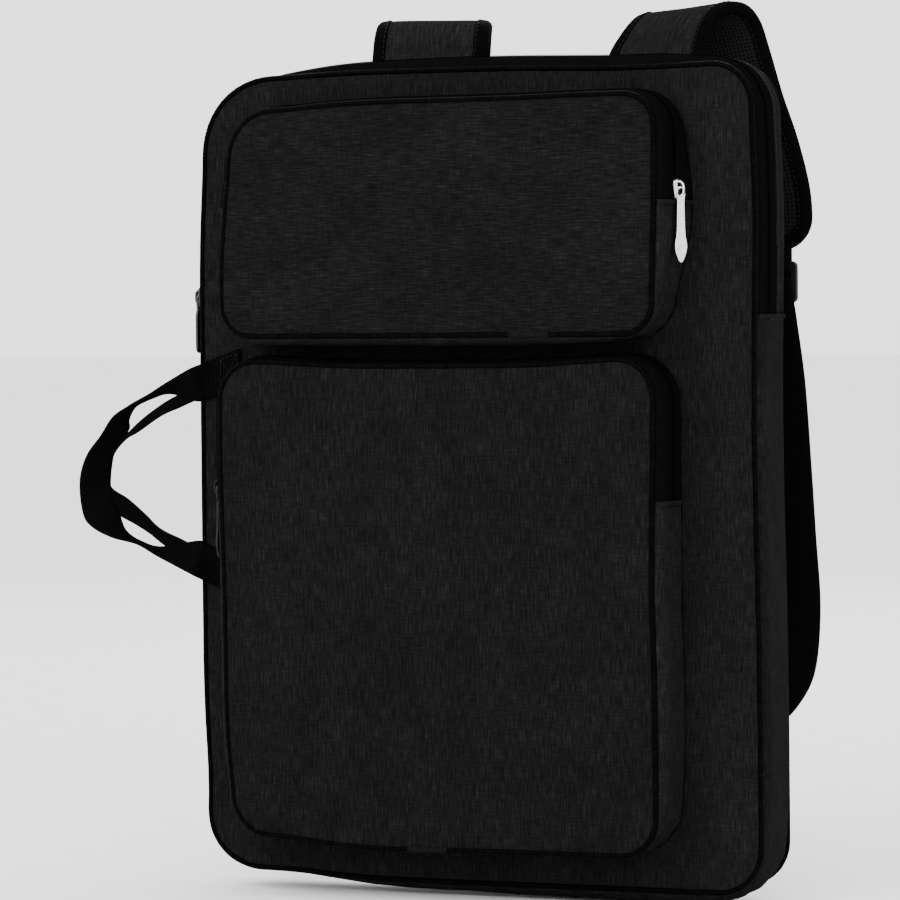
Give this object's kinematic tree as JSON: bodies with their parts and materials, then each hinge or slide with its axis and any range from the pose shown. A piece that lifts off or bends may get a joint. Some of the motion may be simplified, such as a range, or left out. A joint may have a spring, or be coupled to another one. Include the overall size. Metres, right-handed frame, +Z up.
{
  "type": "portfolio case",
  "caption": "Tall zipped fabric art portfolio case worn as a backpack, with zipped front pockets, side carry handles and padded shoulder straps.",
  "frame": {"origin": "centre of the flat bottom that the case stands on", "axes": "+Z up, -Y the pocketed front, +Y the back with the shoulder straps, +X to the right seen from the front"},
  "size_m": [0.4402, 0.1702, 0.5278],
  "materials": {
    "heather_fabric": "matte, streaked two-tone weave",
    "strap_fabric": "matte, streaked two-tone weave",
    "back_fabric": "matte mesh",
    "foam": "matte foam",
    "piping": "satin",
    "zip_tape": "matte",
    "zip_coil": "satin",
    "gunmetal": "satin",
    "silver_metal": "polished",
    "webbing": "ribbed, slight sheen",
    "binding": "matte",
    "buckle_plastic": "satin"
  },
  "bodies": {
    "case": {"back_panel": "back_fabric", "back_foam": "foam", "front_panel_lower": "heather_fabric", "front_foam_lower": "foam", "gusset_lower": "heather_fabric", "gusset_rear_strip": "heather_fabric", "main_zip_tape_rear": "zip_tape", "main_zip_coil_rear": "zip_coil", "front_piping_lower": "piping", "back_piping": "piping", "lower_pocket_gusset": "heather_fabric", "lower_pocket_zip_tape_rear": "zip_tape", "lower_pocket_zip_coil_rear": "zip_coil", "lower_pocket_face_lower": "heather_fabric", "lower_pocket_piping_lower": "piping", "front_handle_end_upper": "webbing", "front_handle_end_lower": "webbing", "rear_handle_end_upper": "webbing", "rear_handle_end_lower": "webbing", "left_strap_sewn_end": "strap_fabric", "right_strap_sewn_end": "strap_fabric", "left_strap_anchor": "webbing", "right_strap_anchor": "webbing"},
    "main_flap": {"front_panel_upper": "heather_fabric", "front_foam_upper": "foam", "main_zip_tape_front": "zip_tape", "main_zip_coil_front": "zip_coil", "front_piping_upper": "piping", "upper_pocket_gusset": "heather_fabric", "upper_pocket_zip_tape_rear": "zip_tape", "upper_pocket_zip_coil_rear": "zip_coil", "upper_pocket_face_lower": "heather_fabric", "upper_pocket_piping_lower": "piping"},
    "upper_pocket_flap": {"upper_pocket_face_upper": "heather_fabric", "upper_pocket_zip_tape_front": "zip_tape", "upper_pocket_zip_coil_front": "zip_coil", "upper_pocket_piping_upper": "piping"},
    "lower_pocket_flap": {"lower_pocket_face_upper": "heather_fabric", "lower_pocket_zip_tape_front": "zip_tape", "lower_pocket_zip_coil_front": "zip_coil", "lower_pocket_piping_upper": "piping"},
    "main_slider": {"main_zip_slider": "gunmetal"},
    "main_puller": {"main_zip_puller": "gunmetal"},
    "upper_slider": {"upper_pocket_zip_slider": "silver_metal"},
    "upper_puller": {"upper_pocket_zip_puller": "silver_metal"},
    "lower_slider": {"lower_pocket_zip_slider": "gunmetal"},
    "lower_puller": {"lower_pocket_zip_puller": "gunmetal"},
    "front_handle_loop": {"front_handle": "webbing"},
    "rear_handle_loop": {"rear_handle": "webbing"},
    "left_strap": {"left_strap_pad": "strap_fabric", "left_strap_binding": "binding", "left_strap_lock_loop": "webbing", "left_strap_ladder_lock": "buckle_plastic", "left_strap_webbing": "webbing"},
    "right_strap": {"right_strap_pad": "strap_fabric", "right_strap_binding": "binding", "right_strap_lock_loop": "webbing", "right_strap_ladder_lock": "buckle_plastic", "right_strap_webbing": "webbing"}
  },
  "joints": [
    {"name": "main_flap_fold", "type": "hinge", "parent": "case", "child": "main_flap", "pos_m": [0, -0.0265, 0.32], "axis": [1, 0, 0], "range_deg": [0, 18]},
    {"name": "upper_pocket_fold", "type": "hinge", "parent": "main_flap", "child": "upper_pocket_flap", "pos_m": [0, -0.0615, 0.4222], "axis": [1, 0, 0], "range_deg": [0, 90]},
    {"name": "lower_pocket_fold", "type": "hinge", "parent": "case", "child": "lower_pocket_flap", "pos_m": [0, -0.0615, 0.2492], "axis": [1, 0, 0], "range_deg": [0, 90]},
    {"name": "main_slider_slide", "type": "slide", "parent": "case", "child": "main_slider", "axis": [0, 0, 1], "range_m": [0, 0.07]},
    {"name": "main_puller_swing", "type": "hinge", "parent": "main_slider", "child": "main_puller", "pos_m": [-0.18445, -0.0115, 0.35665], "axis": [0, 1, 0], "range_deg": [0, 170]},
    {"name": "upper_slider_slide", "type": "slide", "parent": "main_flap", "child": "upper_slider", "axis": [0, 0, 1], "range_m": [0, 0.028]},
    {"name": "upper_puller_swing", "type": "hinge", "parent": "upper_slider", "child": "upper_puller", "pos_m": [0.13595, -0.042, 0.41585], "axis": [0, -1, 0], "range_deg": [0, 170]},
    {"name": "lower_slider_slide", "type": "slide", "parent": "case", "child": "lower_slider", "axis": [0, 0, 1], "range_m": [0, 0.04]},
    {"name": "lower_puller_swing", "type": "hinge", "parent": "lower_slider", "child": "lower_puller", "pos_m": [-0.15695, -0.042, 0.24285], "axis": [0, 1, 0], "range_deg": [0, 170]},
    {"name": "front_handle_swing", "type": "hinge", "parent": "case", "child": "front_handle_loop", "pos_m": [-0.179, -0.0277, 0.248], "axis": [0, 0, 1], "range_deg": [0, 95]},
    {"name": "rear_handle_swing", "type": "hinge", "parent": "case", "child": "rear_handle_loop", "pos_m": [-0.179, 0.0277, 0.248], "axis": [0, 0, -1], "range_deg": [0, 60]},
    {"name": "left_strap_swing", "type": "hinge", "parent": "case", "child": "left_strap", "pos_m": [-0.0565, 0.0364, 0.508], "axis": [0.213, 0.0178, 0.9769], "range_deg": [-20, 20]},
    {"name": "right_strap_swing", "type": "hinge", "parent": "case", "child": "right_strap", "pos_m": [0.1067, 0.0373, 0.508], "axis": [-0.1181, 0.0203, 0.9928], "range_deg": [-20, 20]}
  ]
}
